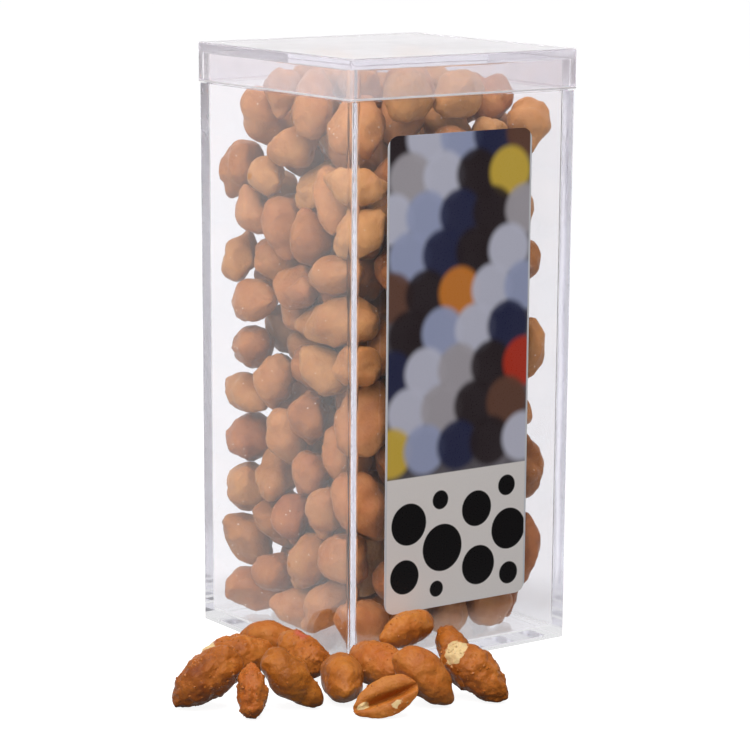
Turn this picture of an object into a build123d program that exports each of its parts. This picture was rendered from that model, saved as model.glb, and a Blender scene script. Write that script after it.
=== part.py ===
from build123d import *
import math
import os

import numpy as np

# Square clear bin of moulded polystyrene with a lift-off lid, filled with coated peanut kernels.
# Frame: +Z up, origin on the table under the middle of the bin, -Y is the face with the label.
# Every length is in millimetres and every angle in degrees.

# ---- Lid ----
lid_width = 57.15
lid_height = 8.3
lid_plate = 2.2
skirt_wall = 1.15
lid_corner_radius = 0.8
lid_edge_radius = 0.35

# ---- Bin ----
shoulder_height = 117.3
bin_wall = 2.2
bin_floor = 2.2
bin_draft = 0.23
bin_corner_radius = 0.4
cavity_corner_radius = 0.4
cavity_floor_radius = 0.9
recess_corner_radius = 1.2
foot_width = 3.4
foot_height = 0.35
gate_diameter = 4.0
gate_height = 0.2

# ---- How the lid sits on the bin ----
lid_overhang = 0.2
skirt_clearance = 0.15
shoulder_gap = 0.3
rim_edge_radius = 0.3

# ---- Label ----
label_width = 36.4
label_bottom = 11.7
label_below_shoulder = 7.1
label_shift = -1.3
label_corner_radius = 2.5
label_thickness = 0.12

# ---- Peanut kernels: all their sizes follow the width. The stretch shortens a kernel between its blunt
# ---- end and its shoulder, and the grade is its share of the full size.
kernel_width = 10.0
kernel_blunt_radius = 0.435 * kernel_width
kernel_shoulder_radius = 0.41 * kernel_width
kernel_tip_radius = 0.21 * kernel_width
belly_from_blunt = 0.34 * kernel_width
shoulder_from_belly = 0.36 * kernel_width
tip_from_shoulder = 0.33 * kernel_width
kernel_stretches = (0.45, 0.65, 0.85)
kernel_grades = (0.9, 1.0, 1.1)
kernel_gap = 0.15
table_gap = 0.04

# ---- Filling of the bin ----
fill_share = 0.54
fill_headroom = 1.0
corner_hollow_depth = 6.6
corner_hollow_from = 0.52
corner_hollow_full = 0.72
fill_levels = 8
fill_seed = 7

# ---- Loose kernels: (x, y) from the bin's corner between the -X and -Y walls, heading and rise of the
# ---- pointed end, grade, height above the table. Places and heights are in kernel widths.
loose_kernels = (
    ((-3.58, -0.19), 150, -38, 1.02, 0.0),
    ((-3.12, -1.15), 60, 62, 0.68, 0.0),
    ((-2.18, -1.13), -40, -44, 0.97, 0.0),
    ((-0.69, 1.96), 132, 4, 0.88, 0.0),
    ((-1.90, 1.26), 165, 5, 0.96, 0.0),
    ((-0.74, 0.66), 98, 15, 0.9, 0.0),
    ((-1.09, -1.31), -115, -5, 0.96, 0.0),
    ((-0.01, -1.04), -85, 0, 1.0, 0.0),
    ((1.07, -0.53), 185, -8, 0.84, 0.52),
    ((1.73, -1.07), -110, -25, 0.72, 0.24),
    ((0.09, -2.43), -50, -42, 0.96, 0.0),
    ((1.17, -2.69), -62, -32, 1.0, 0.0),
)

# ---- Split kernel among them: a half with its flat face up towards the label side ----
split_kernel = ((-1.03, -2.67), 155, -22, 0.84, 0.0)
split_facing = (-0.5, -0.7, 0.5)
split_groove_radius = 0.16 * kernel_width
split_groove_depth = 0.06 * kernel_width
split_groove_length = 0.7 * kernel_width

# Sizes that follow from the ones above.
rim_height = lid_height - lid_plate + shoulder_gap
rim_top = shoulder_height + rim_height
rim_width = lid_width - 2 * (skirt_wall + skirt_clearance)
label_height = shoulder_height - label_bottom - label_below_shoulder
draft_slope = math.tan(math.radians(bin_draft))


def bin_width(height):
    """Outside width of the tapered bin at a height above its base."""
    return lid_width - 2 * lid_overhang - 2 * (shoulder_height - height) * draft_slope


def cavity_width(height):
    """Inside width of the bin at a height above its base."""
    return bin_width(height) - 2 * bin_wall


def square_block(width, bottom, top, corner_radius, lean=0.0):
    """Square block with rounded upright edges, whose sides lean outwards by an angle above its foot."""
    foot = Plane.XY.offset(bottom)
    block = extrude(foot * RectangleRounded(width, width, corner_radius), top - bottom)
    if lean:
        sides = block.faces().filter_by(lambda face: abs(face.normal_at().Z) < 0.5)
        block = draft(sides, foot, -lean)
    return block


# ---------------------------------------------------------------- bin body
def make_bin():
    """Body with a stepped-in rim for the lid, an even wall all round and a standing foot rim below."""
    shell = square_block(bin_width(0), 0, shoulder_height, bin_corner_radius, bin_draft)
    rim = square_block(rim_width, shoulder_height, rim_top, bin_corner_radius)
    rim = fillet(outer_edges_at(rim, rim_top), rim_edge_radius)
    cavity = square_block(cavity_width(bin_floor), bin_floor, rim_top, cavity_corner_radius, bin_draft)
    cavity = fillet(outer_edges_at(cavity, bin_floor), cavity_floor_radius)
    recess_width = bin_width(0) - 2 * foot_width
    recess = square_block(recess_width, 0, foot_height, recess_corner_radius)
    gate = extrude(Plane.XY.offset(foot_height - gate_height) * Circle(gate_diameter / 2), gate_height)
    return shell + rim - cavity - (recess - gate)


def outer_edges_at(block, height):
    """Edges of a block that lie flat at one height."""
    return block.edges().filter_by_position(Axis.Z, height - 0.001, height + 0.001)


# ---------------------------------------------------------------- lid
def make_lid():
    """Flat plate that rests on the rim, with a skirt round it that stops just above the shoulder."""
    lid_bottom = shoulder_height + shoulder_gap
    lid_top = rim_top + lid_plate
    block = square_block(lid_width, lid_bottom, lid_top, lid_corner_radius)
    block = fillet(outer_edges_at(block, lid_top), lid_edge_radius)
    hollow_width = lid_width - 2 * skirt_wall
    hollow = square_block(hollow_width, lid_bottom, rim_top, bin_corner_radius)
    return block - hollow


# ---------------------------------------------------------------- label
def make_label():
    """Printed sticker lying flat on the leaning -Y wall."""
    middle = label_bottom + label_height / 2
    wall_face = Plane(
        origin=(label_shift, -bin_width(middle) / 2, middle),
        x_dir=(1, 0, 0),
        z_dir=(0, -1, -draft_slope),
    )
    sticker = wall_face * RectangleRounded(label_width, label_height, label_corner_radius)
    return extrude(sticker, label_thickness)


# ---------------------------------------------------------------- one kernel
# A kernel is turned about its long axis. Its outline runs round four circles and along the straight
# lines that touch each two neighbours: blunt end, belly, shoulder and tip.
round_radii = np.array([kernel_blunt_radius, kernel_width / 2, kernel_shoulder_radius, kernel_tip_radius])


def round_centres(stretch):
    """Where the middles of the four circles lie on the axis of a kernel with its own middle at 0."""
    steps = [belly_from_blunt * stretch, shoulder_from_belly * stretch, tip_from_shoulder]
    centres = np.cumsum([kernel_blunt_radius] + steps)
    return centres - kernel_length(stretch) / 2


def kernel_length(stretch):
    """Overall length of a kernel of grade 1."""
    body = (belly_from_blunt + shoulder_from_belly) * stretch
    return kernel_blunt_radius + body + tip_from_shoulder + kernel_tip_radius


def make_kernel(stretch=1.0):
    """Egg-shaped kernel with its pointed end towards +Z and its middle at the origin."""
    centres = round_centres(stretch)
    slopes = np.arcsin(-np.diff(round_radii) / np.diff(centres))
    turns = np.concatenate([[-math.pi / 2], slopes, [math.pi / 2]])

    def on_round(k, angle):
        radius = float(round_radii[k])
        return Vector(radius * math.cos(angle), float(centres[k]) + radius * math.sin(angle))

    edges = []
    for k in range(len(round_radii)):
        start, finish = on_round(k, turns[k]), on_round(k, turns[k + 1])
        edges.append(ThreePointArc(start, on_round(k, (turns[k] + turns[k + 1]) / 2), finish))
        if k + 1 < len(round_radii):
            edges.append(Line(finish, on_round(k + 1, turns[k + 1])))
    edges.append(Line(edges[-1] @ 1, edges[0] @ 0))
    return revolve(Plane.XZ * make_face(edges), Axis.Z)


# ---------------------------------------------------------------- settling the kernels
# Each kernel is stood for by a chain of spheres along its axis. Kernels that press into each other
# or into a wall are pushed and turned apart, a little at a time, while they grow to their size.
chain_spheres = 10
chain_slack = 0.04


def chain(stretch, spheres=chain_spheres):
    """Places along the axis and radii of evenly spaced spheres that fill out a kernel of grade 1."""
    centres = round_centres(stretch)
    arms = np.linspace(centres[0], centres[-1], spheres)
    return arms, np.interp(arms, centres, round_radii)


class Kernels:
    """Where a set of kernels lie and how big they are. They may turn as they are pushed, or not."""

    def __init__(self, places, directions, grades, stretches, turning=True):
        self.turning = turning
        self.places = np.array(places, float)
        self.directions = np.array(directions, float)
        self.directions /= np.linalg.norm(self.directions, axis=1)[:, None]
        self.grades = np.array(grades, float)
        self.stretches = np.array(stretches, float)
        chains = np.array([chain(stretch) for stretch in stretches])
        self.arms, self.radii = chains[:, 0], chains[:, 1]
        self.lengths = np.array([kernel_length(stretch) for stretch in stretches])

    def spheres(self, growth):
        """Centres and radii of every chain, for kernels grown to a share of their size."""
        size = self.grades[:, None] * growth
        arms = self.directions[:, None, :] * (self.arms * size)[:, :, None]
        return self.places[:, None, :] + arms, self.radii * size + chain_slack

    def push(self, which, sphere, shove, growth):
        """Move and turn kernels by shoves that act on the given spheres of their chains."""
        np.add.at(self.places, which, shove)
        if not self.turning:
            return
        size = self.grades[which] * growth
        arms = self.directions[which] * (self.arms[which, sphere] * size)[:, None]
        inertia = 0.1 * (self.lengths[which] * size) ** 2
        turn = np.zeros_like(self.places)
        np.add.at(turn, which, np.cross(arms, shove) / inertia[:, None])
        self.directions += np.cross(turn, self.directions)
        self.directions /= np.linalg.norm(self.directions, axis=1)[:, None]

    def part_neighbours(self, growth, firmness=0.7):
        """Push apart the pairs of kernels that are nearer than the kernel gap."""
        centres, radii = self.spheres(growth)
        spread = np.linalg.norm(self.places[:, None] - self.places[None], axis=2)
        reach = (self.lengths * self.grades).max() * growth + kernel_gap
        one, other = np.nonzero(np.triu(spread < reach, 1))
        apart = centres[one][:, :, None, :] - centres[other][:, None, :, :]
        distance = np.linalg.norm(apart, axis=3)
        press = radii[one][:, :, None] + radii[other][:, None, :] + kernel_gap - distance
        press = press.reshape(len(one), -1)
        deepest = press.argmax(axis=1)
        rows = np.nonzero(press[np.arange(len(one)), deepest] > 0)[0]
        one, other, deepest = one[rows], other[rows], deepest[rows]
        gap_line = apart.reshape(-1, chain_spheres**2, 3)[rows, deepest]
        length = np.maximum(np.linalg.norm(gap_line, axis=1), 1e-6)
        shove = gap_line * (firmness * press[rows, deepest] / length)[:, None]
        which = np.concatenate([one, other])
        sphere = np.concatenate([deepest // chain_spheres, deepest % chain_spheres])
        self.push(which, sphere, np.concatenate([shove, -shove]), growth)

    def keep_clear(self, growth, depth_beyond, inward, gap, firmness=0.7):
        """Push back the kernels that reach through one wall, by their deepest sphere."""
        centres, radii = self.spheres(growth)
        depth = depth_beyond(centres) + radii + gap
        deepest = depth.argmax(axis=1)
        most = depth[np.arange(len(deepest)), deepest]
        which = np.nonzero(most > 0)[0]
        shove = firmness * most[which][:, None] * np.array(inward, float)[None, :]
        self.push(which, deepest[which], shove, growth)


def crown_height(points):
    """Height of the top of the fill, which dips at the corners between -X and +Y and between +X and -Y."""
    across = abs(points[..., 0] - points[..., 1]) / cavity_width(shoulder_height)
    dip = np.clip((across - corner_hollow_from) / (corner_hollow_full - corner_hollow_from), 0, 1)
    return rim_top - fill_headroom - corner_hollow_depth * dip


def cavity_walls():
    """The four walls, the floor and the crown, each as its depth function and inward direction."""
    walls = []
    for axis in (0, 1):
        for side in (-1, 1):
            inward = [0, 0, 0]
            inward[axis] = -side
            walls.append(
                (lambda p, a=axis, s=side: s * p[..., a] - cavity_width(p[..., 2]) / 2, inward)
            )
    walls.append((lambda p: bin_floor - p[..., 2], (0, 0, 1)))
    walls.append((lambda p: p[..., 2] - crown_height(p), (0, 0, -1)))
    return walls


def kernel_volume(stretch):
    """Volume of a kernel of grade 1, by thin slices along its axis."""
    slices = np.linspace(-kernel_length(stretch) / 2, kernel_length(stretch) / 2, 400)
    centres, radii = chain(stretch, spheres=400)
    squares = (radii[None, :] ** 2 - (slices[:, None] - centres[None, :]) ** 2).max(axis=1)
    return float(np.sum(math.pi * np.maximum(squares, 0)) * (slices[1] - slices[0]))


def fill_the_bin(growing_steps=700, easing_steps=800):
    """Kernels scattered through the cavity as seeds and grown until they pack it."""
    chance = np.random.default_rng(fill_seed)
    top = rim_top - fill_headroom
    room = cavity_width((bin_floor + top) / 2) ** 2 * (top - bin_floor)
    mean_volume = np.mean([kernel_volume(stretch) for stretch in kernel_stretches])
    mean_volume *= np.mean([grade**3 for grade in kernel_grades])
    count = int(fill_share * room / mean_volume)
    margin = kernel_width / 2
    across = cavity_width(bin_floor) / 2 - margin
    places = np.c_[
        chance.uniform(-across, across, (count, 2)),
        chance.uniform(bin_floor + margin, top - margin, count),
    ]
    directions = chance.normal(size=(count, 3))
    grades = chance.choice(kernel_grades, count)
    kernels = Kernels(places, directions, grades, chance.choice(kernel_stretches, count))
    walls = cavity_walls()
    for step in range(growing_steps + easing_steps):
        growth = min(1.0, 0.5 + 0.5 * step / growing_steps)
        kernels.part_neighbours(growth)
        for depth_beyond, inward in walls:
            kernels.keep_clear(growth, depth_beyond, inward, kernel_gap)
    return kernels


def pointing(heading, rise):
    """Direction from its heading about +Z and its rise above the table."""
    return Vector(1, 0, 0).rotate(Axis.Y, -rise).rotate(Axis.Z, heading)


def clear_of_bin(points):
    """How far points lie out from the label's face and from the -X wall."""
    half_width = bin_width(points[..., 2]) / 2
    return -points[..., 1] - half_width - label_thickness, -points[..., 0] - half_width


def depth_in_front_wall(points):
    """Depth behind the label's face, for points nearer to it than to the -X wall."""
    from_front, from_side = clear_of_bin(points)
    return np.where(from_front >= from_side, -from_front, -np.inf)


def depth_in_side_wall(points):
    """Depth behind the -X wall, for points nearer to it than to the label's face."""
    from_front, from_side = clear_of_bin(points)
    return np.where(from_side > from_front, -from_side, -np.inf)


def lowest_point(kernels):
    """Height of the lowest point of each kernel."""
    centres, radii = kernels.spheres(1.0)
    return (centres[..., 2] - radii).min(axis=1)


def scatter_at_the_foot(easing_steps=500, firmness=0.15):
    """Kernels laid by hand in front of the bin, set down on the table and moved just clear of each other."""
    laid = loose_kernels + (split_kernel,)
    corner = np.full(3, -bin_width(0) / 2)
    places = [corner + kernel_width * np.array([x, y, 0]) for (x, y), _, _, _, _ in laid]
    directions = [tuple(pointing(heading, rise)) for _, heading, rise, _, _ in laid]
    grades = [grade for _, _, _, grade, _ in laid]
    heights = kernel_width * np.array([height for _, _, _, _, height in laid])
    kernels = Kernels(places, directions, grades, np.ones(len(laid)), turning=False)
    kernels.places[:, 2] += table_gap + heights - lowest_point(kernels)
    obstacles = (
        (lambda points: -points[..., 2], (0, 0, 1), table_gap),
        (depth_in_front_wall, (0, -1, 0), kernel_gap),
        (depth_in_side_wall, (-1, 0, 0), kernel_gap),
    )
    for _ in range(easing_steps):
        kernels.part_neighbours(1.0, firmness)
        for depth_beyond, inward, gap in obstacles:
            kernels.keep_clear(1.0, depth_beyond, inward, gap)
    return kernels


def make_split_kernel():
    """Half of a kernel, parted along its length, with the shallow hollow that the halves share."""
    half = split(make_kernel(), Plane.YZ, keep=Keep.BOTTOM)
    groove_line = Pos(split_groove_radius - split_groove_depth, 0, 0)
    groove = groove_line * Cylinder(split_groove_radius, split_groove_length)
    groove_ends = [groove_line * Pos(0, 0, end * split_groove_length / 2) for end in (-1, 1)]
    for groove_end in groove_ends:
        groove += groove_end * Sphere(split_groove_radius)
    return half - groove


def placed(solid, place, direction, grade):
    """Copy of a kernel, sized to its grade, with its pointed end along the direction."""
    seat = Plane(origin=tuple(place), z_dir=tuple(direction))
    return seat * scale(solid, grade)


# ---------------------------------------------------------------- write the parts
os.makedirs("parts", exist_ok=True)


def write(name, solids):
    """One node: a single solid, or a group of separate ones."""
    shape = solids[0] if len(solids) == 1 else Compound(children=list(solids))
    shape.label = name
    export_step(shape, f"parts/{name}.step")


write("bin_body", [make_bin().solid()])
write("lid", [make_lid().solid()])
write("label", [make_label().solid()])

kernels_by_stretch = {stretch: make_kernel(stretch).solid() for stretch in kernel_stretches}
fill = fill_the_bin()
upward = np.argsort(fill.places[:, 2])
for level, members in enumerate(np.array_split(upward, fill_levels), start=1):
    solids = [
        placed(kernels_by_stretch[fill.stretches[k]], fill.places[k], fill.directions[k], fill.grades[k])
        for k in members
    ]
    write(f"peanuts_level_{level:02d}", solids)

loose = scatter_at_the_foot()
full_kernel = make_kernel().solid()
for k in range(len(loose_kernels)):
    solid = placed(full_kernel, loose.places[k], loose.directions[k], loose.grades[k])
    write(f"loose_peanut_{k + 1:02d}", [solid])
split_seat = Plane(
    origin=tuple(loose.places[-1]),
    x_dir=split_facing,
    z_dir=tuple(loose.directions[-1]),
)
write("loose_split_peanut", [split_seat * scale(make_split_kernel(), loose.grades[-1])])
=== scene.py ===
import math

import bpy
import numpy as np
from mathutils import Matrix, Vector, noise


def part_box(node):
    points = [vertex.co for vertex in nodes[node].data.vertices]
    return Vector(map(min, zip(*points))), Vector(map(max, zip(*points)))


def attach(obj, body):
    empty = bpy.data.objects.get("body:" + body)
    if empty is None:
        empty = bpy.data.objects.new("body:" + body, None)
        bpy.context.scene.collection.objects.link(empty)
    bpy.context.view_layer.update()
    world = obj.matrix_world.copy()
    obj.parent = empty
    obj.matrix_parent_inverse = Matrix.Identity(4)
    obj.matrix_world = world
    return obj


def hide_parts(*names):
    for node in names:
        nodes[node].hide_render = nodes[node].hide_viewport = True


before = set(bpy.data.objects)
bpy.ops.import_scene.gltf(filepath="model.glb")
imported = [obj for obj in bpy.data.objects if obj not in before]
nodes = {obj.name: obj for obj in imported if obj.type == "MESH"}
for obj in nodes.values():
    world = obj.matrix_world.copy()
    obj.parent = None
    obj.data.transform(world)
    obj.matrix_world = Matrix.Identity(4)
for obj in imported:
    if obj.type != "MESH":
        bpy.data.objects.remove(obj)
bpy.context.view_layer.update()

# Light crosses many faces of clear plastic before it leaves the bin.
scene = bpy.context.scene
scene.view_settings.view_transform = "Standard"
scene.cycles.max_bounces = 72
scene.cycles.transmission_bounces = 64
scene.cycles.glossy_bounces = 64
scene.cycles.transparent_max_bounces = 32
scene.cycles.diffuse_bounces = 2
scene.cycles.use_denoising = True


# ======================================================================= the camera
# A long lens a little above the middle of the bin, turned to its front left upright edge,
# so that the bare side wall and the labelled wall both show.
sight_azimuth = math.radians(-35.34)
sight_height = math.radians(10.54)
sight_roll = math.radians(0.31)
sight_aim = Vector((-0.001496, 0.001061, 0.055630))
sight_distance = 0.62556
across = Vector((math.cos(sight_azimuth), math.sin(sight_azimuth), 0))
away = Vector((
    math.sin(sight_azimuth) * math.cos(sight_height),
    -math.cos(sight_azimuth) * math.cos(sight_height),
    math.sin(sight_height),
))
upright = away.cross(across)
camera_across = across * math.cos(sight_roll) + upright * math.sin(sight_roll)
camera_upright = upright * math.cos(sight_roll) - across * math.sin(sight_roll)
camera_data = bpy.data.cameras.new("view")
camera_data.lens = 140.54
camera_data.sensor_width = 36
camera_data.clip_start = 0.05
camera = bpy.data.objects.new("view", camera_data)
scene.collection.objects.link(camera)
camera.matrix_world = Matrix.Translation(sight_aim + away * sight_distance) @ Matrix((
    (camera_across.x, camera_upright.x, away.x, 0),
    (camera_across.y, camera_upright.y, away.y, 0),
    (camera_across.z, camera_upright.z, away.z, 0),
    (0, 0, 0, 1),
))
scene.camera = camera


# ======================================================================= floor and light
# White board under the bin in a white room, lit by a broad soft box on the left and a smaller
# one above. Board and room have one brightness for lighting, one for the eye and one for what
# gloss mirrors, so that the ground is plain white and the light comes from the soft boxes.
def add_node(tree, kind, inputs=(), **settings):
    """A node with its settings and inputs; an input is a value or the socket that feeds it."""
    made = tree.nodes.new(kind)
    for name, value in settings.items():
        setattr(made, name, value)
    for name, value in dict(inputs).items():
        if isinstance(value, bpy.types.NodeSocket):
            tree.links.new(value, made.inputs[name])
        else:
            made.inputs[name].default_value = value
    return made


def maths(tree, operation, *values, **settings):
    """One sum on numbers."""
    inputs = dict(enumerate(values))
    return add_node(tree, "ShaderNodeMath", inputs, operation=operation, **settings).outputs[0]


def vectors(tree, operation, *values):
    """One sum on vectors, which gives a vector or a number."""
    made = add_node(tree, "ShaderNodeVectorMath", dict(enumerate(values)), operation=operation)
    gives_number = operation in ("DOT_PRODUCT", "LENGTH", "DISTANCE")
    return made.outputs["Value" if gives_number else "Vector"]


def ranged(tree, value, low, high, to_low=0.0, to_high=1.0, **settings):
    """A number carried from one range to another, and held at its ends."""
    return add_node(tree, "ShaderNodeMapRange", {
        "Value": value, "From Min": low, "From Max": high,
        "To Min": to_low, "To Max": to_high}, **settings).outputs[0]


def object_place(tree):
    """Place on the piece itself."""
    return add_node(tree, "ShaderNodeTexCoord").outputs["Object"]


def new_material(name):
    """An empty material with its output node."""
    material = bpy.data.materials.new(name)
    material.use_nodes = True
    tree = material.node_tree
    tree.nodes.clear()
    return material, tree, tree.nodes.new("ShaderNodeOutputMaterial")


def surroundings(tree, vector):
    """How bright the room is each way round for what a surface mirrors: white behind the bin,
    a little dimmer off to its left and dark at the front right. What is seen straight through
    clear plastic is white all round, and light that ran along inside a wall is pale."""
    left_behind = (-0.57, 0.82, 0.0)
    full, pale = 1.1, 0.66
    few_turns, many_turns = 4.0, 8.0        # times that light was mirrored on its way
    level = vectors(tree, "MULTIPLY", vector, (1.0, 1.0, 0.0))
    way = vectors(tree, "DOT_PRODUCT", vectors(tree, "NORMALIZE", level), left_behind)
    round_room = add_node(tree, "ShaderNodeValToRGB", {0: ranged(tree, way, -1.0, 1.0)})
    spots = round_room.color_ramp.elements
    spots[0].color = (0.07, 0.07, 0.07, 1)
    spots[1].color = (0.80, 0.78, 0.81, 1)
    for spot, brightness in ((0.12, 0.08), (0.20, 0.95), (0.55, full), (0.86, full)):
        spots.new(spot).color = (brightness, brightness, brightness, 1)
    turns = add_node(tree, "ShaderNodeLightPath").outputs["Glossy Depth"]
    piped = ranged(tree, turns, few_turns, many_turns, 0.0, pale)
    straight = ranged(tree, turns, 0.0, 0.5, full, 0.0)
    return maths(tree, "MAXIMUM", maths(tree, "MAXIMUM", round_room.outputs[0], piped), straight)


def with_eye_and_mirror(tree, plain, eye, mirror):
    """One look for lighting, one for the eye and one for what gloss and clear plastic show."""
    path = add_node(tree, "ShaderNodeLightPath").outputs
    sent_on = maths(tree, "MAXIMUM", path["Is Glossy Ray"], path["Is Transmission Ray"])
    shown = add_node(tree, "ShaderNodeMixShader", {
        0: sent_on, 1: plain.outputs[0], 2: mirror.outputs[0]})
    return add_node(tree, "ShaderNodeMixShader", {
        0: path["Is Camera Ray"], 1: shown.outputs[0], 2: eye.outputs[0]}).outputs[0]


white = (1, 1, 1, 1)
floor_size = 3.0
floor_mesh = bpy.data.meshes.new("floor")
floor_mesh.from_pydata(
    [(-floor_size, -floor_size, 0), (floor_size, -floor_size, 0),
     (floor_size, floor_size, 0), (-floor_size, floor_size, 0)], [], [(0, 1, 2, 3)])
floor = bpy.data.objects.new("floor", floor_mesh)
scene.collection.objects.link(floor)
board, tree, output = new_material("white_board")
board_body = add_node(tree, "ShaderNodeBsdfDiffuse", {"Color": (0.10, 0.095, 0.09, 1)})
board_dim = add_node(tree, "ShaderNodeBsdfDiffuse", {"Color": (0.34, 0.34, 0.345, 1)})
board_glow = add_node(tree, "ShaderNodeEmission", {"Color": white, "Strength": 0.902})
board_seen = add_node(tree, "ShaderNodeAddShader", {
    0: board_dim.outputs[0], 1: board_glow.outputs[0]})

# What gloss mirrors of the board is shaded round the bin's foot, and darkest close under a piece.
foot_reach, foot_shade = (0.025, 0.05), (0.78, 0.92)    # m from the bin's middle, brightness
foot_shade_fades = (0.045, 0.065)
under_piece_shade, clear_height = 0.12, 0.010
board_place = object_place(tree)
board_reach = vectors(tree, "LENGTH", board_place)
board_far = ranged(tree, board_reach, *foot_shade_fades, interpolation_type="SMOOTHSTEP")
board_near = ranged(tree, board_reach, *foot_reach, *foot_shade)
board_bright = add_node(tree, "ShaderNodeMix", {
    0: board_far, 2: board_near, 3: surroundings(tree, board_place)}, data_type="FLOAT")
board_path = add_node(tree, "ShaderNodeLightPath").outputs
board_open = ranged(tree, board_path["Ray Length"], 0.0, clear_height, under_piece_shade, 1.0)
board_shaded = maths(tree, "MAXIMUM", board_open, board_path["Transmission Depth"], use_clamp=True)
board_mirror = add_node(tree, "ShaderNodeEmission", {
    "Color": white, "Strength": maths(tree, "MULTIPLY", board_bright.outputs[0], board_shaded)})
tree.links.new(with_eye_and_mirror(tree, board_body, board_seen, board_mirror),
               output.inputs["Surface"])
floor_mesh.materials.append(board)

room = bpy.data.worlds.new("white_room")
scene.world = room
room.use_nodes = True
tree = room.node_tree
tree.nodes.clear()
room_output = tree.nodes.new("ShaderNodeOutputWorld")
room_light = add_node(tree, "ShaderNodeBackground", {
    "Color": (0.97, 0.98, 1.0, 1), "Strength": 0.29})
room_white = add_node(tree, "ShaderNodeBackground", {"Color": white, "Strength": 1.0})
room_way = add_node(tree, "ShaderNodeTexCoord").outputs["Generated"]
room_beside_board = 0.84
room_mirror = add_node(tree, "ShaderNodeBackground", {
    "Color": white,
    "Strength": maths(tree, "MULTIPLY", surroundings(tree, room_way), room_beside_board)})
tree.links.new(with_eye_and_mirror(tree, room_light, room_white, room_mirror),
               room_output.inputs["Surface"])


def soft_box(name, place, aim, size, power):
    """A square lamp that faces a point."""
    lamp = bpy.data.lights.new(name, "AREA")
    lamp.shape = "SQUARE"
    lamp.size = size
    lamp.energy = power
    lamp.color = (1.0, 0.985, 0.96)
    held = bpy.data.objects.new(name, lamp)
    scene.collection.objects.link(held)
    held.location = place
    held.rotation_euler = (Vector(place) - Vector(aim)).to_track_quat("Z", "Y").to_euler()


soft_box("soft_box_left", place=(-0.50, -0.30, 0.68), aim=(0, 0, 0.04), size=0.7, power=6.0)
soft_box("soft_box_top", place=(0.04, -0.20, 0.92), aim=(0, 0, 0.10), size=0.4, power=3.3)


# ======================================================================= the bin's body
# One moulding of clear polystyrene, about 2 mm thick: a square tube with a closed foot, stepped
# in at the top for the lid. Its walls have faint flow waves and hairline rubs, and a trace of
# dust that is thicker towards the rim.
def mixed(tree, share, first, second):
    """Two colours mixed."""
    inputs = {0: share, 6: first, 7: second}
    return add_node(tree, "ShaderNodeMix", inputs, data_type="RGBA").outputs[2]


def clouded(tree, place, scale, detail=2.0, roughness=0.5):
    """Cloudy noise from 0 to 1."""
    return add_node(tree, "ShaderNodeTexNoise", {
        "Vector": place, "Scale": scale, "Detail": detail, "Roughness": roughness}).outputs["Fac"]


def clear_plastic(name, clearest, haziest, rim_haze=0.0, top_film=0.74, highlight_band_below=0.0):
    """Clear moulded plastic. Its edges are tinted by their length, dust lies on it as a thin film
    with painted shade on level faces, and light passes it to the inside."""
    polished, rubbed = 0.012, 0.05
    rim_dust_start, rim_dust_end = 0.080, 0.112
    highlight_band_fade, highlight_band_cover = 0.00015, 0.9
    material, tree, output = new_material(name)
    place = object_place(tree)
    height = add_node(tree, "ShaderNodeSeparateXYZ", {0: place}).outputs["Z"]
    along_mould = add_node(tree, "ShaderNodeMapping", {"Vector": place, "Scale": (900, 900, 60)})
    rubs = clouded(tree, along_mould.outputs[0], 1.0, detail=3.0)
    flow = add_node(tree, "ShaderNodeBump", {
        "Height": clouded(tree, place, 38.0, detail=1.0), "Strength": 0.12, "Distance": 0.0006})
    plastic = add_node(tree, "ShaderNodeBsdfPrincipled", {
        "Base Color": (0.985, 0.98, 1.0, 1), "IOR": 1.59, "Transmission Weight": 1.0,
        "Roughness": ranged(tree, rubs, 0.45, 0.75, polished, rubbed), "Normal": flow.outputs[0]})

    facing = add_node(tree, "ShaderNodeNewGeometry").outputs["Normal"]
    upward = add_node(tree, "ShaderNodeSeparateXYZ", {0: facing}).outputs["Z"]
    level = maths(tree, "ABSOLUTE", upward)
    # The film on level faces is painted darker than on the walls: painted shade that holds down the
    # light the lamps above throw on the lid's top.
    wall_film = (0.95, 0.92, 0.96, 1)
    painted_shade_film = (top_film, 0.97 * top_film, 1.02 * top_film, 1)
    film = add_node(tree, "ShaderNodeBsdfDiffuse", {
        "Color": mixed(tree, level, wall_film, painted_shade_film)})
    dust = ranged(tree, clouded(tree, place, 70.0, 5.0, 0.62), 0.42, 0.72, clearest, haziest)
    rim_dust = ranged(tree, height, rim_dust_start, rim_dust_end, 0.0, rim_haze)
    # A thin white band of film at the skirt's lower edge, as painted highlight.
    painted_edge_highlight = ranged(tree, height, highlight_band_below - highlight_band_fade, highlight_band_below, highlight_band_cover, 0.0)
    cover = maths(tree, "MAXIMUM", maths(tree, "ADD", dust, rim_dust), painted_edge_highlight)
    dust_and_painted_light = add_node(tree, "ShaderNodeMixShader", {
        0: cover, 1: plastic.outputs[0], 2: film.outputs[0]})

    path = add_node(tree, "ShaderNodeLightPath").outputs
    clear = add_node(tree, "ShaderNodeBsdfTransparent", {"Color": (0.96, 0.955, 0.965, 1)})
    lit = add_node(tree, "ShaderNodeMixShader", {
        0: path["Is Shadow Ray"], 1: dust_and_painted_light.outputs[0], 2: clear.outputs[0]})
    tree.links.new(lit.outputs[0], output.inputs["Surface"])
    edge_tint = add_node(tree, "ShaderNodeVolumeAbsorption", {
        "Color": (0.70, 0.68, 0.86, 1), "Density": 6.5})
    tree.links.new(edge_tint.outputs[0], output.inputs["Volume"])
    return material


def paint(shape, material):
    """Put one material on the whole of a piece."""
    shape.data.materials.clear()
    shape.data.materials.append(material)


bin_plastic = clear_plastic("clear_polystyrene_bin", clearest=0.004, haziest=0.024, rim_haze=0.022)
paint(nodes["bin_body"], bin_plastic)
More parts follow.
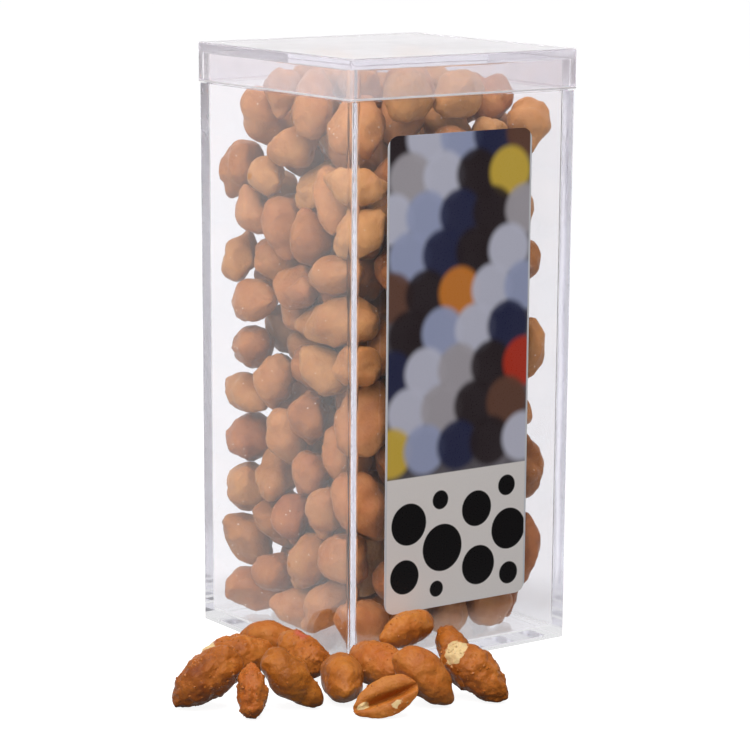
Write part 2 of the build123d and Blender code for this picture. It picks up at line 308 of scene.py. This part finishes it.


# ======================================================================= the lid
# A shallow cap of the same clear polystyrene, lifted straight off. Handling has left it hazier
# than the walls, and the lower edge of its skirt has a thin white band: painted highlight for the
# light that edge catches.
skirt_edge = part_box("lid")[0].z
# Height of the painted highlight band above the skirt's lower edge (m).
highlight_band_height = 0.00045
lid_plastic = clear_plastic("clear_polystyrene_lid", clearest=0.18, haziest=0.26, top_film=0.68,
                            highlight_band_below=skirt_edge + highlight_band_height)
paint(nodes["lid"], lid_plastic)


# ======================================================================= the label
# A tall sticker of white film on the front wall, printed in full colour and laminated. Its upper
# part has staggered rows of soft coloured discs, its foot a pale band with black dots.
mm_per_m = 1000
label_low, label_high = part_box("label")
label_middle = (label_low[0] + label_high[0]) / 2
label_half = (label_high[0] - label_low[0]) / 2
band_top = 40.0         # mm above the table, as all the print's heights are
disc_pitch = (8.4, 8.0)     # mm across and down
top_row = 109.5
disc_radius, disc_blur, disc_strength = 5.2, 2.0, 0.94
dot_blur = 0.25
white_margin, white_line = 0.55, 0.35       # mm in from the sheet's long edges
print_inks = {
    "n": (0.030, 0.034, 0.090), "k": (0.035, 0.024, 0.028), "t": (0.170, 0.080, 0.055),
    "p": (0.68, 0.69, 0.84), "b": (0.42, 0.47, 0.70), "g": (0.50, 0.47, 0.52),
    "o": (0.76, 0.26, 0.045), "y": (0.78, 0.54, 0.08), "r": (0.60, 0.05, 0.025)}
print_rows = ("kpbnt", "gpky", "pbnkg", "bnkp", "tkopb", "kbpn", "npgkr", "pgkt", "ybnkp")
black_ink = (0.010, 0.009, 0.010)
foot_dots = (       # x from the middle, height, radius (mm)
    (-12.2, 30.2, 4.4), (-13.2, 19.2, 3.6), (-3.6, 24.2, 5.0), (5.2, 31.4, 3.8), (5.8, 19.2, 4.2),
    (13.6, 26.0, 4.4), (-4.2, 34.4, 2.0), (13.0, 35.4, 2.2), (13.8, 16.4, 2.4), (-5.0, 15.6, 1.7))
printed, tree, output = new_material("printed_film")
flat_place = add_node(tree, "ShaderNodeMapping", {
    "Vector": object_place(tree), "Scale": (mm_per_m, 0, mm_per_m),
    "Location": (-mm_per_m * label_middle, 0, 0)}).outputs[0]


def printed_disc(below, centre, radius, blur, strength, colour):
    """One disc of ink laid over what is printed below it."""
    span = vectors(tree, "DISTANCE", flat_place, (centre[0], 0, centre[1]))
    cover = ranged(tree, span, radius - blur / 2, radius + blur / 2, strength, 0.0,
                   interpolation_type="SMOOTHSTEP")
    return mixed(tree, cover, below, (*colour, 1))


upper_ramp = add_node(tree, "ShaderNodeValToRGB", {0: clouded(tree, flat_place, 0.06)})
upper_ramp.color_ramp.elements[0].position = 0.35
upper_ramp.color_ramp.elements[0].color = (0.035, 0.032, 0.040, 1)
upper_ramp.color_ramp.elements[1].position = 0.65
upper_ramp.color_ramp.elements[1].color = (0.22, 0.20, 0.23, 1)
ink = upper_ramp.outputs[0]
for row, letters in enumerate(print_rows):
    for column, letter in enumerate(letters):
        disc_x = disc_pitch[0] * (column - (len(letters) - 1) / 2)
        disc_z = top_row - disc_pitch[1] * row
        ink = printed_disc(ink, (disc_x, disc_z), disc_radius, disc_blur, disc_strength,
                           print_inks[letter])
band = (0.92, 0.88, 0.87, 1)
for x, z, radius in foot_dots:
    band = printed_disc(band, (x, z), radius, dot_blur, 1.0, black_ink)
spot = add_node(tree, "ShaderNodeSeparateXYZ", {0: flat_place}).outputs
in_band = ranged(tree, spot["Z"], band_top - 0.1, band_top + 0.1, 1.0, 0.0)
ink = mixed(tree, in_band, ink, band)
label_edge = label_half * mm_per_m
at_edge = ranged(tree, maths(tree, "ABSOLUTE", spot["X"]), label_edge - white_margin,
                 label_edge - white_line)
ink = mixed(tree, at_edge, ink, (0.74, 0.75, 0.80, 1))
grain = clouded(tree, flat_place, 3.0, detail=4.0)
grain_bump = add_node(tree, "ShaderNodeBump", {
    "Height": grain, "Strength": 0.05, "Distance": 0.0001})
film = add_node(tree, "ShaderNodeBsdfPrincipled", {
    "Base Color": ink, "Roughness": ranged(tree, grain, 0.0, 1.0, 0.22, 0.36),
    "Specular IOR Level": 0.3, "Normal": grain_bump.outputs[0]})
tree.links.new(film.outputs[0], output.inputs["Surface"])
paint(nodes["label"], printed)


# ======================================================================= the peanuts in the bin
# Skinned peanut kernels, tumbled in honey and sugar and roasted. Each is an uneven egg of soft
# lobes under a thin brown glaze with grains of sugar. They lie as they fell, packed in the bin.
def shells_of(node):
    """Points of a node's mesh once each, its triangles, and the solid that each point is on."""
    mesh = nodes[node].data
    points = np.empty(len(mesh.vertices) * 3)
    mesh.vertices.foreach_get("co", points)
    points = points.reshape(-1, 3)
    corners = np.empty(len(mesh.loops), int)
    mesh.loops.foreach_get("vertex_index", corners)
    _, first, same = np.unique(np.round(points, 7), axis=0, return_index=True, return_inverse=True)
    triangles = same.reshape(-1)[corners.reshape(-1, 3)]
    points = points[first]
    group = np.arange(len(points))
    while True:
        lowest = group[triangles].min(axis=1)
        joined = group.copy()
        for corner in range(3):
            np.minimum.at(joined, triangles[:, corner], lowest)
        joined = joined[joined]
        if (joined == group).all():
            break
        group = joined
    return points, triangles, group


def kernels_in(node):
    """Middle, long axis towards the pointed end, half length and half girth of each kernel."""
    tip_share = 0.8     # of the half length; the end that is thinner past it is the pointed one
    points, _, group = shells_of(node)
    found = []
    for name in np.unique(group):
        shell = points[group == name]
        middle = shell.mean(axis=0)
        spread, ways = np.linalg.eigh(np.cov((shell - middle).T))
        along = ways[:, 2] if spread[1] - spread[0] < spread[2] - spread[1] else ways[:, 0]
        place = (shell - middle) @ along
        middle = middle + along * (place.min() + place.max()) / 2
        half_length = (place.max() - place.min()) / 2
        place = (shell - middle) @ along
        girth = np.linalg.norm(shell - middle - place[:, None] * along, axis=1)
        fore, aft = place > tip_share * half_length, place < -tip_share * half_length
        if girth[fore].max() > girth[aft].max():
            along = -along
        found.append((middle, along, half_length, girth.max()))
    return found


def own_value(tree, name):
    """A value that a piece's points carry, in its material."""
    return add_node(tree, "ShaderNodeAttribute", attribute_name=name).outputs["Fac"]


bare_nut = (0.72, 0.52, 0.26, 1)
red_skin = (0.50, 0.105, 0.055, 1)


def glaze(name, light, brown, dark):
    """Honey and sugar glaze on a roasted kernel, mottled brown. Where it is missing the nut is
    cream, and here and there a shred of its red skin was left on."""
    material, tree, output = new_material(name)
    place = object_place(tree)
    roast_and_top_light = maths(tree, "MULTIPLY_ADD", clouded(tree, place, 170.0, 5.0, 0.6), 0.9,
                  own_value(tree, "tone"))
    ramp = add_node(tree, "ShaderNodeValToRGB", {0: roast_and_top_light})
    ramp.color_ramp.elements[0].position = 0.22
    ramp.color_ramp.elements[0].color = (*dark, 1)
    ramp.color_ramp.elements[1].position = 0.92
    ramp.color_ramp.elements[1].color = (*light, 1)
    ramp.color_ramp.elements.new(0.52).color = (*brown, 1)
    tinted = add_node(tree, "ShaderNodeHueSaturation", {
        "Hue": own_value(tree, "tint"), "Color": ramp.outputs[0]})
    ragged = maths(tree, "MULTIPLY_ADD", clouded(tree, place, 520.0, detail=3.0), 1.6,
                   own_value(tree, "bare"))
    bare_cover = ranged(tree, ragged, 1.38, 1.50)
    colour = mixed(tree, bare_cover, tinted.outputs[0], bare_nut)
    colour = mixed(tree, own_value(tree, "skin"), colour, red_skin)
    crust = clouded(tree, place, 560.0, 5.0, 0.6)
    bump = add_node(tree, "ShaderNodeBump", {"Height": crust, "Strength": 0.7, "Distance": 0.0007})
    body = add_node(tree, "ShaderNodeBsdfPrincipled", {
        "Base Color": colour, "Roughness": ranged(tree, crust, 0.3, 0.7, 0.22, 0.50),
        "Specular IOR Level": 0.18, "Normal": bump.outputs[0], "Subsurface Weight": 0.06,
        "Subsurface Radius": (1.0, 0.35, 0.12), "Subsurface Scale": 0.0008})
    tree.links.new(body.outputs[0], output.inputs["Surface"])
    return material


def new_tree(name, result, source, inputs):
    """An empty geometry node group with its sockets: one geometry out, one in, and named inputs."""
    tree = bpy.data.node_groups.new(name, "GeometryNodeTree")
    tree.interface.new_socket(result, in_out="OUTPUT", socket_type="NodeSocketGeometry")
    tree.interface.new_socket(source, in_out="INPUT", socket_type="NodeSocketGeometry")
    for label, kind, value in inputs:
        socket = tree.interface.new_socket(label, in_out="INPUT", socket_type="NodeSocket" + kind)
        if value is not None:
            socket.default_value = value
    return tree, tree.nodes.new("NodeGroupInput").outputs


def stretched(tree, vector, amount):
    """A vector made longer or shorter."""
    inputs = {0: vector, "Scale": amount}
    return add_node(tree, "ShaderNodeVectorMath", inputs, operation="SCALE").outputs[0]


def random_vector(tree, low, high, seed):
    """A vector of its own for each point, in geometry nodes."""
    return add_node(tree, "FunctionNodeRandomValue", {"Min": low, "Max": high, "Seed": seed},
                    data_type="FLOAT_VECTOR").outputs[0]


def sugar_tree():
    """Geometry nodes that strew grains of twenty faces over a surface, each partly sunk in it."""
    per_cm2 = 1e4
    sunk_share = 0.22
    tree, given = new_tree("sugar_grains", "Sugared", "Surface", (
        ("Grains per cm2", "Float", None), ("Grain size", "Float", None), ("Seed", "Int", 3),
        ("Sugar", "Material", None)))
    strewn = add_node(tree, "GeometryNodeDistributePointsOnFaces", {
        "Mesh": given["Surface"], "Seed": given["Seed"],
        "Density": maths(tree, "MULTIPLY", given["Grains per cm2"], per_cm2)}).outputs
    inward = stretched(tree, strewn["Normal"],
                       maths(tree, "MULTIPLY", given["Grain size"], -sunk_share))
    sunk = add_node(tree, "GeometryNodeSetPosition", {
        "Geometry": strewn["Points"], "Offset": inward}).outputs[0]
    grain = add_node(tree, "GeometryNodeMeshIcoSphere", {"Radius": 0.5, "Subdivisions": 1})
    turn = random_vector(tree, (-3.0, -3.0, -3.0), (3.0, 3.0, 3.0), given["Seed"])
    shape = random_vector(tree, (0.35, 0.35, 0.35), (1.3, 1.1, 0.9), given["Seed"])
    grains = add_node(tree, "GeometryNodeInstanceOnPoints", {
        "Points": sunk, "Instance": grain.outputs[0], "Rotation": turn,
        "Scale": stretched(tree, shape, given["Grain size"])}).outputs[0]
    solid = add_node(tree, "GeometryNodeRealizeInstances", {"Geometry": grains}).outputs[0]
    sugared = add_node(tree, "GeometryNodeSetMaterial", {
        "Geometry": solid, "Material": given["Sugar"]}).outputs[0]
    both = tree.nodes.new("GeometryNodeJoinGeometry")
    tree.links.new(given["Surface"], both.inputs[0])
    tree.links.new(sugared, both.inputs[0])
    tree.links.new(both.outputs[0], tree.nodes.new("NodeGroupOutput").inputs[0])
    return tree


def kernel_tree(sugar_grains):
    """Geometry nodes that set an uneven kernel on each point, by the point's own sizes, and
    sugar on it."""
    tree, given = new_tree("uneven_kernels", "Kernels", "Middles", (
        ("Segments", "Int", 32), ("Rings", "Int", 23),
        ("Lobe size", "Float", 0.0050), ("Lobe depth", "Float", 0.0006),
        ("Dent size", "Float", 0.0056), ("Dent depth", "Float", 0.0007),
        ("Lump size", "Float", 0.0024), ("Lump depth", "Float", 0.00055),
        ("Proud", "Float", 0.00008), ("Grains per cm2", "Float", 3.0),
        ("Grain size", "Float", 0.0006), ("Seed", "Int", 3),
        ("Glaze", "Material", None), ("Sugar", "Material", None)))

    def own(name, kind="FLOAT"):
        return add_node(tree, "GeometryNodeInputNamedAttribute", {"Name": name},
                        data_type=kind).outputs[0]

    def own_vector(name):
        return own(name, "FLOAT_VECTOR")

    def plus(first, second):
        return maths(tree, "ADD", first, second)

    def minus(first, second):
        return maths(tree, "SUBTRACT", first, second)

    def times(first, second):
        return maths(tree, "MULTIPLY", first, second)

    def over(first, second):
        return maths(tree, "DIVIDE", first, second)

    def moved(geometry, **how):
        return add_node(tree, "GeometryNodeSetPosition", {"Geometry": geometry, **how}).outputs[0]

    def girth_curve(share, spots):
        widest = 1.2
        outline = add_node(tree, "ShaderNodeFloatCurve", {"Value": share})
        curve = outline.mapping.curves[0]
        for spot, width in spots:
            if spot in (0.0, 1.0):
                curve.points[int(spot)].location = (spot, width / widest)
            else:
                curve.points.new(spot, width / widest)
        outline.mapping.update()
        return times(outline.outputs[0], widest)

    ball = add_node(tree, "GeometryNodeMeshUVSphere", {
        "Segments": given["Segments"], "Rings": given["Rings"], "Radius": 1.0}).outputs["Mesh"]
    tagged = add_node(tree, "GeometryNodeStoreNamedAttribute", {
        "Geometry": ball, "Name": "on_ball",
        "Value": add_node(tree, "GeometryNodeInputPosition").outputs[0]},
        data_type="FLOAT_VECTOR", domain="POINT").outputs[0]
    roll = random_vector(tree, (0.0, 0.0, -math.pi), (0.0, 0.0, math.pi), given["Seed"])
    rolled = add_node(tree, "FunctionNodeEulerToRotation", {0: roll}).outputs[0]
    aimed = add_node(tree, "FunctionNodeAlignRotationToVector", {
        "Rotation": rolled, "Vector": own_vector("along")}, axis="Z").outputs[0]
    balls = add_node(tree, "GeometryNodeInstanceOnPoints", {
        "Points": given["Middles"], "Instance": tagged, "Rotation": aimed,
        "Scale": (1.0, 1.0, 1.0)}).outputs[0]
    shells = add_node(tree, "GeometryNodeRealizeInstances", {"Geometry": balls}).outputs[0]

    # The ball's points move out to the outline of a short or a long kernel, or one between.
    where = add_node(tree, "GeometryNodeInputPosition").outputs[0]
    middle, along, girth = own_vector("middle"), own_vector("along"), own("half_girth")
    reach = add_node(tree, "ShaderNodeSeparateXYZ", {0: own_vector("on_ball")}).outputs["Z"]
    share = ranged(tree, reach, -1.0, 1.0)
    short = girth_curve(share, (
        (0.0, 1.06), (0.1, 1.03), (0.25, 0.988), (0.4, 1.01), (0.5, 0.993), (0.6, 0.947),
        (0.75, 0.80), (0.85, 0.70), (0.9, 0.67), (1.0, 0.73)))
    slender = girth_curve(share, (
        (0.0, 1.2), (0.1, 1.143), (0.25, 1.016), (0.4, 0.998), (0.5, 0.992), (0.6, 0.933),
        (0.75, 0.90), (0.85, 0.827), (0.93, 0.768), (1.0, 0.83)))
    short_ratio, slender_ratio = 1.29, 1.675
    slimness = ranged(tree, over(own("half_length"), girth), short_ratio, slender_ratio)
    width = add_node(tree, "ShaderNodeMix", {0: slimness, 2: short, 3: slender},
                     data_type="FLOAT").outputs[0]
    arm = vectors(tree, "SUBTRACT", where, middle)
    lengthwise = stretched(tree, along, vectors(tree, "DOT_PRODUCT", arm, along))
    crosswise = vectors(tree, "SUBTRACT", arm, lengthwise)
    on_axis = vectors(tree, "ADD", middle,
                      stretched(tree, along, times(reach, own("half_length"))))
    placed = vectors(tree, "ADD", on_axis, stretched(tree, crosswise, times(width, girth)))
    eggs = moved(shells, Position=placed)

    # Each is bent and pressed flat on one side.
    unbent_reach_squared = 0.45
    flatness = 0.85
    side = own_vector("side")
    arch = times(minus(unbent_reach_squared, times(reach, reach)), times(own("bend"), girth))
    out = vectors(tree, "DOT_PRODUCT", vectors(tree, "SUBTRACT", where, middle), side)
    past_flat = maths(tree, "MAXIMUM", minus(times(own("flat"), girth), plus(out, girth)), 0.0)
    pressed = times(past_flat, flatness)
    bent = moved(eggs, Offset=stretched(tree, side, plus(arch, pressed)))

    # It is drawn in between its lobes and lumps and in its dents, and stands out by Proud at most.
    lobe = add_node(tree, "ShaderNodeTexVoronoi", {
        "Vector": where, "Scale": over(1.0, given["Lobe size"]), "Smoothness": 0.25},
        feature="SMOOTH_F1").outputs["Distance"]
    dent = clouded(tree, where, over(1.0, given["Dent size"]), detail=1.0)
    lump = clouded(tree, where, over(1.0, given["Lump size"]))
    lobe_depth = times(times(lobe, lobe), times(given["Lobe depth"], -2.0))
    dented = maths(tree, "MINIMUM", minus(dent, 0.50), 0.0)
    dent_depth = times(dented, times(given["Dent depth"], 4.0))
    lump_depth = times(minus(lump, 0.55), times(given["Lump depth"], 2.0))
    depth = plus(plus(lobe_depth, dent_depth), lump_depth)
    depth = maths(tree, "MINIMUM", plus(depth, given["Proud"]), given["Proud"])
    normal = add_node(tree, "GeometryNodeInputNormal").outputs[0]
    uneven = moved(bent, Offset=stretched(tree, normal, depth))
    smooth = add_node(tree, "GeometryNodeSetShadeSmooth", {"Geometry": uneven}).outputs[0]
    glazed = add_node(tree, "GeometryNodeSetMaterial", {
        "Geometry": smooth, "Material": given["Glaze"]}).outputs[0]
    sugared = add_node(tree, "GeometryNodeGroup", node_tree=sugar_grains)
    tree.links.new(glazed, sugared.inputs["Surface"])
    for label in ("Grains per cm2", "Grain size", "Seed", "Sugar"):
        tree.links.new(given[label], sugared.inputs[label])
    tree.links.new(sugared.outputs[0], tree.nodes.new("NodeGroupOutput").inputs[0])
    return tree


def plain_mesh(name, points, faces=(), attributes=()):
    """A mesh of points and faces, with named values on its points."""
    mesh = bpy.data.meshes.new(name)
    mesh.from_pydata([tuple(p) for p in points], [], [tuple(f) for f in faces])
    for label, values in dict(attributes).items():
        values = np.asarray(values, np.float32)
        kind, slot = ("FLOAT_VECTOR", "vector") if values.ndim == 2 else ("FLOAT", "value")
        mesh.attributes.new(label, kind, "POINT").data.foreach_set(slot, values.ravel())
    return mesh


def grow(name, tree, mesh, **sizes):
    """Run a tree on a mesh, and keep what it makes as a plain mesh."""
    holder = bpy.data.objects.new(name + "_seed", mesh)
    scene.collection.objects.link(holder)
    modifier = holder.modifiers.new("grow", "NODES")
    modifier.node_group = tree
    for item in tree.interface.items_tree:
        key = item.name.lower().replace(" ", "_")
        if item.in_out == "INPUT" and key in sizes:
            modifier[item.identifier] = sizes[key]
    evaluated = holder.evaluated_get(bpy.context.evaluated_depsgraph_get())
    grown = bpy.data.objects.new(name, bpy.data.meshes.new_from_object(evaluated))
    grown.data.name = name
    scene.collection.objects.link(grown)
    bpy.data.objects.remove(holder)
    bpy.data.meshes.remove(mesh)
    return grown


def uneven_kernels(node, chance, bend, flat, tone, **sizes):
    """The kernels of a node with a bend, a pressed side and a tone of their own: roast, raised by
    painted light on the fill's top levels.
    """
    name = "glazed_" + node
    found = kernels_in(node)
    middles = np.array([kernel[0] for kernel in found])
    along = np.array([kernel[1] for kernel in found])
    side = np.cross(along, chance.normal(size=along.shape))
    side /= np.linalg.norm(side, axis=1)[:, None]
    count = len(found)
    seeds = plain_mesh(name + "_middles", middles, attributes={
        "middle": middles,
        "along": along,
        "side": side,
        "half_length": [kernel[2] for kernel in found],
        "half_girth": [kernel[3] for kernel in found],
        "bend": chance.uniform(0.0, bend, count),
        "flat": chance.uniform(0.0, flat, count),
        "tone": chance.uniform(*tone, count),
        "tint": chance.uniform(0.494, 0.504, count),
    })
    return grow(name, kernels_tree, seeds, **sizes)


sugar, tree, output = new_material("sugar_grains")
sugar_tint = mixed(tree, clouded(tree, object_place(tree), 900.0),
                   (0.38, 0.100, 0.013, 1), (0.48, 0.165, 0.030, 1))
sugar_tint = mixed(tree, own_value(tree, "bare"), sugar_tint, bare_nut)
sugar_body = add_node(tree, "ShaderNodeBsdfPrincipled", {
    "Base Color": sugar_tint, "Roughness": 0.18, "Specular IOR Level": 0.25})
tree.links.new(sugar_body.outputs[0], output.inputs["Surface"])

# Pale sugar specks for the fill, partly painted highlight: real grains of sugar whose pale colour
# also stands in for small glints of light on the glaze.
sugar_specks, tree, output = new_material("sugar_specks")
speck_and_glint_tint = mixed(tree, clouded(tree, object_place(tree), 700.0),
                   (0.60, 0.34, 0.16, 1), (0.95, 0.86, 0.74, 1))
speck_body = add_node(tree, "ShaderNodeBsdfPrincipled", {
    "Base Color": speck_and_glint_tint, "Roughness": 0.15})
tree.links.new(speck_body.outputs[0], output.inputs["Surface"])

# The fill's glaze is a paler, less saturated copy of the loose kernels' glaze: painted veil that
# stands in for the whitish sheen the clear walls lay over the kernels behind them.
fill_glaze = glaze("honey_glaze_fill", light=(0.57, 0.270, 0.095), brown=(0.43, 0.162, 0.048),
                   dark=(0.25, 0.078, 0.022))
# The fill's two top levels are painted lighter: painted light that stands in for the light falling
# on the top of the pile through the lid.
top_levels_painted_light = {"peanuts_level_07": 0.14, "peanuts_level_08": 0.26}
sugar_grains = sugar_tree()
kernels_tree = kernel_tree(sugar_grains)
chance = np.random.default_rng(41)
for node in sorted(name for name in nodes if name.startswith("peanuts_level_")):
    roast_and_top_light = top_levels_painted_light.get(node, 0.0)
    layer = uneven_kernels(node, chance, bend=0.16, flat=0.45, tone=(roast_and_top_light - 0.08, roast_and_top_light + 0.34),
                           glaze=fill_glaze, sugar=sugar_specks)
    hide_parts(node)
    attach(layer, "bin")


# ======================================================================= the loose peanuts
# A handful of the same kernels spilled on the table at the bin's front corner, some propped on
# their neighbours. Two have lost flakes of glaze, where the pale nut shows, and one has kept a
# shred of red skin.
loose_glaze = glaze("honey_glaze_loose", light=(0.61, 0.245, 0.050), brown=(0.45, 0.132, 0.019),
                    dark=(0.19, 0.040, 0.006))
loose_looks = {     # lobe, dent and lump depth (mm), grains per cm2, grain size (mm), roast
    "01": (0.30, 0.45, 0.65, 40, 0.95, 0.00),
    "02": (0.40, 0.60, 0.65, 40, 0.90, 0.14),
    "03": (0.80, 0.40, 0.25, 10, 0.70, 0.02),
    "04": (0.60, 0.40, 0.25, 16, 0.70, 0.10),
    "05": (0.45, 0.45, 0.45, 30, 0.80, 0.06),
    "06": (0.45, 0.45, 0.50, 36, 0.95, 0.12),
    "07": (0.50, 0.30, 0.20, 12, 0.60, 0.05),
    "08": (0.45, 0.40, 0.40, 40, 0.80, 0.16),
    "09": (0.60, 0.30, 0.25, 16, 0.70, 0.14),
    "10": (0.60, 0.40, 0.45, 30, 0.80, 0.02),
    "11": (0.65, 0.30, 0.20, 10, 0.60, 0.14),
    "12": (0.45, 0.50, 0.65, 40, 0.95, 0.04),
}
flakes_off = {      # right and up from the kernel's middle as the camera sees it, radius (mm)
    "05": ((-6.2, 0.6, 1.4), (-5.4, 1.6, 1.0)),
    "12": ((-4.7, 3.4, 1.2), (-3.8, 4.5, 1.3), (-2.9, 5.2, 0.9)),
}
skin_left = {       # right, up and radius in the same way
    "06": ((0.3, 4.2, 0.8), (-0.7, 4.4, 0.6)),
}


def mark_spots(piece, layer_name, middle, spots):
    """Mark the points round each spot, placed as the camera sees it, on the side it sees."""
    fade = 1.9          # radii from the spot's middle where the mark ends
    seen_side = -0.001  # m from the kernel's middle towards the camera
    points = np.empty(len(piece.data.vertices) * 3)
    piece.data.vertices.foreach_get("co", points)
    arms = points.reshape(-1, 3) - np.array(middle)
    seen = np.stack([arms @ np.array(camera_across), arms @ np.array(camera_upright)], axis=1)
    faces_camera = arms @ np.array(away) > seen_side
    marked = np.zeros(len(arms))
    for right, up, radius in spots:
        span = np.linalg.norm(seen * mm_per_m - (right, up), axis=1)
        marked = np.maximum(marked, np.clip(fade - span / radius, 0, 1) * faces_camera)
    layer = piece.data.attributes.new(layer_name, "FLOAT", "POINT")
    layer.data.foreach_set("value", marked.astype(np.float32))


for number, (lobe, dent, lump, grains, grain, roast_and_top_light) in loose_looks.items():
    node = "loose_peanut_" + number
    kernel = uneven_kernels(
        node, chance, bend=0.06, flat=0.16, tone=(roast_and_top_light - 0.02, roast_and_top_light + 0.02),
        glaze=loose_glaze, sugar=sugar, segments=84, rings=60, proud=-0.00005,
        lobe_size=0.0070, lobe_depth=lobe / mm_per_m, dent_depth=dent / mm_per_m,
        lump_size=0.0018, lump_depth=lump / mm_per_m,
        grains_per_cm2=float(grains), grain_size=grain / mm_per_m)
    middle = kernels_in(node)[0][0]
    mark_spots(kernel, "bare", middle, flakes_off.get(number, ()))
    mark_spots(kernel, "skin", middle, skin_left.get(number, ()))
    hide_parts(node)
    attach(kernel, "bin")


# ======================================================================= the split peanut
# One half of a kernel that came apart along its length, glazed over its split face too. A soft
# groove runs down that face between two lobes, and the pale germ sits at its pointed end. The
# shares below are of the half's own half length and half width.
def split_half(node):
    """Middle of the split face, its outward, lengthwise and crosswise directions, and its half
    length and half width."""
    points, triangles, _ = shells_of(node)
    corner = points[triangles]
    cross = np.cross(corner[:, 1] - corner[:, 0], corner[:, 2] - corner[:, 0])
    area = np.linalg.norm(cross, axis=1)
    facing = cross / np.maximum(area, 1e-12)[:, None]
    kinds, kind_of = np.unique(np.round(facing, 2), axis=0, return_inverse=True)
    total = np.bincount(kind_of.reshape(-1), weights=area)
    outward = kinds[total.argmax()]
    outward = facing[np.linalg.norm(facing - outward, axis=1) < 0.02].mean(axis=0)
    outward /= np.linalg.norm(outward)
    top = (points @ outward).max()
    face = points[points @ outward > top - 1e-5]
    _, ways = np.linalg.eigh(np.cov((face - face.mean(axis=0)).T))
    lengthwise = ways[:, 2]
    crosswise = np.cross(outward, lengthwise)
    reach, spread = face @ lengthwise, face @ crosswise
    reach_sum, spread_sum = reach.min() + reach.max(), spread.min() + spread.max()
    middle = (lengthwise * reach_sum + crosswise * spread_sum) / 2 + outward * top
    half_length = (reach.max() - reach.min()) / 2
    half_width = (spread.max() - spread.min()) / 2
    end = 0.75 * half_length
    upper = spread[reach - middle @ lengthwise > end] - middle @ crosswise
    lower = spread[reach - middle @ lengthwise < -end] - middle @ crosswise
    if np.abs(upper).max() > np.abs(lower).max():
        lengthwise, crosswise = -lengthwise, -crosswise
    return middle, outward, lengthwise, crosswise, half_length, half_width


middle, outward, lengthwise, crosswise, half_length, half_width = split_half("loose_split_peanut")
turns, steps = 96, 70
sweep = np.tile(np.linspace(0, 2 * math.pi, turns, endpoint=False), steps)
slope = np.repeat(np.linspace(0, math.pi, steps + 2)[1:-1], turns)
on_face = np.sin(sweep) > 0
length_share = np.cos(slope)
girth = np.sin(slope) * np.interp(
    length_share, (-1, -0.5, 0, 0.3, 0.6, 0.85, 1), (1.16, 1.0, 0.98, 0.93, 0.86, 0.76, 0.8))
cross_share = girth * np.cos(sweep)


def mound(cross_at, cross_wide, length_at, length_wide):
    """A soft mound on the half, by its place and width across and along it."""
    return np.exp(-((cross_share - cross_at) / cross_wide) ** 2
                  - ((length_share - length_at) / length_wide) ** 2)


face_level, face_top, back_top = -0.20, -0.02, -0.20
lobe_rise, groove_depth, germ_rise = 0.15, 0.5, 0.42
lobes = lobe_rise * (1 - (np.abs(np.cos(sweep)) - 0.5) ** 2 * 4) * np.sin(slope)
groove_line = cross_share + 0.10 * length_share - 0.03
groove = (groove_depth * np.exp(-(groove_line / 0.15) ** 2)
          * np.clip(1.5 - 1.3 * np.abs(length_share), 0, 1))
germ = germ_rise * mound(-0.04, 0.13, 0.70, 0.16)
height_share = np.where(on_face, face_level + lobes - groove + germ, girth * np.sin(sweep))
highest = np.where(on_face, face_top, back_top - 0.1 * (1 - np.sin(slope)))
height_share = np.minimum(height_share, highest)
inside = 0.985
points = middle + (
    np.outer(length_share * half_length * inside, lengthwise)
    + np.outer(cross_share * half_width * inside, crosswise)
    + np.outer(height_share * half_width, outward)
)
ripple = np.array([noise.noise(Vector(p) * 420) + 0.5 * noise.noise(Vector(p) * 1100)
                   for p in points])
inward = middle - outward * 0.4 * half_width - points
points += inward * (0.035 + 0.045 * ripple)[:, None]
ends = [middle + lengthwise * half_length * end - outward * 0.3 * half_width
        for end in (0.97, -0.97)]
ring_of = np.arange(turns * steps).reshape(steps, turns)
next_of = np.roll(ring_of, -1, axis=1)
faces = [(ring_of[k, j], ring_of[k + 1, j], next_of[k + 1, j], next_of[k, j])
         for k in range(steps - 1) for j in range(turns)]
faces += [(turns * steps, ring_of[0, j], next_of[0, j]) for j in range(turns)]
faces += [(turns * steps + 1, next_of[-1, j], ring_of[-1, j]) for j in range(turns)]
if np.dot(np.cross(crosswise, outward), lengthwise) < 0:
    faces = [face[::-1] for face in faces]
bare = np.maximum(np.clip(1.7 * mound(-0.04, 0.16, 0.70, 0.20), 0, 1),
                  0.9 * mound(0.55, 0.25, -0.25, 0.3)) * on_face
half_mesh = plain_mesh("split_half", list(points) + ends, faces, {
    "bare": np.append(bare, [0.0, 0.0]),
    "tone": np.full(len(points) + 2, 0.14),
    "tint": np.full(len(points) + 2, 0.5)})
half_mesh.materials.append(loose_glaze)
half_mesh.shade_smooth()
half = grow("glazed_split_peanut", sugar_grains, half_mesh, grains_per_cm2=16.0,
            grain_size=0.0008, sugar=sugar)
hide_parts("loose_split_peanut")
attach(half, "bin")
